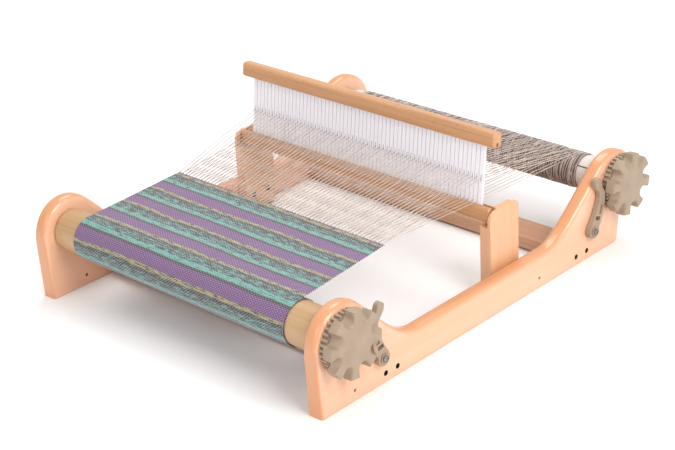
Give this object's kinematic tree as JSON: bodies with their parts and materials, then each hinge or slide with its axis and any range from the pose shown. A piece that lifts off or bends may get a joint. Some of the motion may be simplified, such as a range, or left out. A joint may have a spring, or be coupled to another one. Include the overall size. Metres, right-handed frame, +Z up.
{
  "type": "rigid heddle loom",
  "caption": "Table-top rigid heddle loom with beech frame, two ratchet rollers, a slotted reed heddle, a warp and part-woven striped cloth.",
  "frame": {"origin": "on the table plane, under the centre of the whole loom's box", "axes": "+X towards the knob and ratchet side, +Y towards the back (warp) roller, +Z up; the weaver sits at -Y"},
  "size_m": [0.5252, 0.6216, 0.2204],
  "materials": {
    "panel_beech": "lacquered, satin gloss",
    "board_beech": "lacquered, satin",
    "heddle_beech": "oiled, satin",
    "roller_wood": "turned, satin",
    "taupe_plastic": "moulded nylon, satin",
    "zinc_steel": "zinc plated",
    "reed_plastic": "white, satin",
    "striped_cloth": "woven stripes in purple, aqua, grey and lime",
    "warp_yarn": "spun yarn",
    "pale_card": "matt card"
  },
  "bodies": {
    "frame": {"side_panel_left": "panel_beech", "side_panel_right": "panel_beech", "front_cross_rail": "board_beech", "back_cross_rail": "board_beech", "front_rail_screw_left_1": "zinc_steel", "front_rail_screw_left_2": "zinc_steel", "front_rail_screw_right_1": "zinc_steel", "front_rail_screw_right_2": "zinc_steel", "back_rail_screw_left_1": "zinc_steel", "back_rail_screw_left_2": "zinc_steel", "back_rail_screw_right_1": "zinc_steel", "back_rail_screw_right_2": "zinc_steel", "heddle_post_left": "board_beech", "heddle_post_right": "board_beech", "post_screw_left_1": "zinc_steel", "post_screw_left_2": "zinc_steel", "post_screw_right_1": "zinc_steel", "post_screw_right_2": "zinc_steel", "front_pawl_screw": "zinc_steel", "front_pawl_washer": "taupe_plastic", "back_pawl_screw": "zinc_steel", "back_pawl_washer": "taupe_plastic", "cloth_flat": "striped_cloth", "warp_front_upper": "warp_yarn", "warp_front_lower": "warp_yarn", "warp_back_upper": "warp_yarn", "warp_back_lower": "warp_yarn"},
    "cloth_roller": {"front_roller": "roller_wood", "front_ratchet": "taupe_plastic", "front_knob": "taupe_plastic", "front_roller_bolt": "zinc_steel", "front_roller_washer": "zinc_steel", "front_warp_stick": "board_beech", "cloth_roll": "striped_cloth"},
    "warp_roller": {"back_roller": "roller_wood", "back_ratchet": "taupe_plastic", "back_knob": "taupe_plastic", "back_roller_bolt": "zinc_steel", "back_roller_washer": "zinc_steel", "back_warp_stick": "board_beech", "warp_roll_inner": "warp_yarn", "warp_card": "pale_card", "warp_roll_outer": "warp_yarn"},
    "front_pawl": {"front_pawl": "taupe_plastic"},
    "back_pawl": {"back_pawl": "taupe_plastic"},
    "heddle": {"heddle_bottom_rail": "heddle_beech", "heddle_top_rail": "heddle_beech", "reed": "reed_plastic"}
  },
  "joints": [
    {"name": "cloth_roller_turn", "type": "hinge", "parent": "frame", "child": "cloth_roller", "pos_m": [-0.0082, -0.26855, 0.0875], "axis": [1, 0, 0], "continuous": true},
    {"name": "warp_roller_turn", "type": "hinge", "parent": "frame", "child": "warp_roller", "pos_m": [-0.0082, 0.26675, 0.0875], "axis": [1, 0, 0], "continuous": true},
    {"name": "front_pawl_release", "type": "hinge", "parent": "frame", "child": "front_pawl", "pos_m": [0.244, -0.20945, 0.0394], "axis": [-1, 0, 0], "range_deg": [0, 35]},
    {"name": "back_pawl_release", "type": "hinge", "parent": "frame", "child": "back_pawl", "pos_m": [0.244, 0.20465, 0.0397], "axis": [1, 0, 0], "range_deg": [0, 35]},
    {"name": "heddle_beat", "type": "slide", "parent": "frame", "child": "heddle", "axis": [0, -1, 0], "range_m": [0, 0.08], "deforming": ["warp_front_upper", "warp_front_lower", "warp_back_upper", "warp_back_lower"]}
  ]
}
